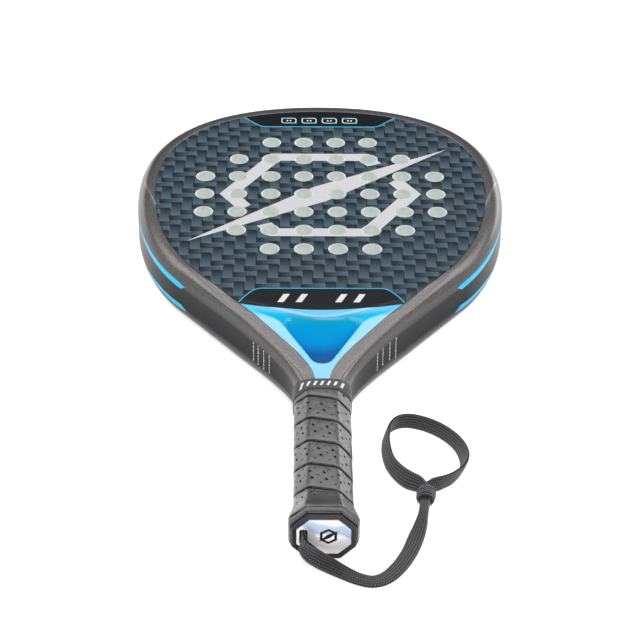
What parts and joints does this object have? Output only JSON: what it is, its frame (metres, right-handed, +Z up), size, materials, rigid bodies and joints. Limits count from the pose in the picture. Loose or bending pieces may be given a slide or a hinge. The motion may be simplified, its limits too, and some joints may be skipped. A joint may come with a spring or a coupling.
{
  "type": "padel racket",
  "caption": "Teardrop padel racket lying flat: perforated woven face in a rounded frame, open throat, perforated taped octagonal grip, butt cap and a flat wrist lace with a slip loop.",
  "frame": {"origin": "under the middle of the racket's own box (the wrist lace left out), on the surface that its rear face lies on", "axes": "+Y from the butt to the tip along the racket, +Z up out of the front hitting face, +X to the right seen from the butt"},
  "size_m": [0.247, 0.4778, 0.036],
  "materials": {
    "frame_paint": "satin metallic gunmetal paint with a fine flake",
    "throat_blue": "gloss sky-blue lacquer",
    "core_foam": "matt closed-cell EVA foam",
    "carbon_face": "satin lacquer over a dark slate-blue twill weave",
    "handle_foam": "matt rigid polyurethane foam",
    "cap_plastic": "satin moulded soft plastic",
    "badge_mirror": "mirror-bright metallised plate",
    "staple_steel": "bright steel wire",
    "grip_tape": "slightly glossy perforated polyurethane tape",
    "tape_black": "matt finishing tape",
    "collar_rubber": "satin rubber band",
    "lace": "flat braided polyester with lengthwise ribs"
  },
  "bodies": {
    "racket": {"frame_tube": "frame_paint", "throat_insert": "throat_blue", "foam_core": "core_foam", "front_face": "carbon_face", "rear_face": "carbon_face", "handle_spacer": "handle_foam", "handle_pallet_front": "handle_foam", "handle_pallet_rear": "handle_foam", "butt_cap": "cap_plastic", "butt_badge": "badge_mirror", "butt_cap_staples": "staple_steel", "cord_stop_knot": "lace", "grip_tape": "grip_tape", "finishing_tape": "tape_black", "grip_collar": "collar_rubber", "wrist_cord_tail": "lace", "wrist_cord_loop": "lace"},
    "knot": {"slip_knot": "lace"}
  },
  "joints": [
    {"name": "slip_knot_slide", "type": "slide", "parent": "racket", "child": "knot", "axis": [-0.138, -0.9904, 0], "range_m": [0, 0.01]}
  ]
}
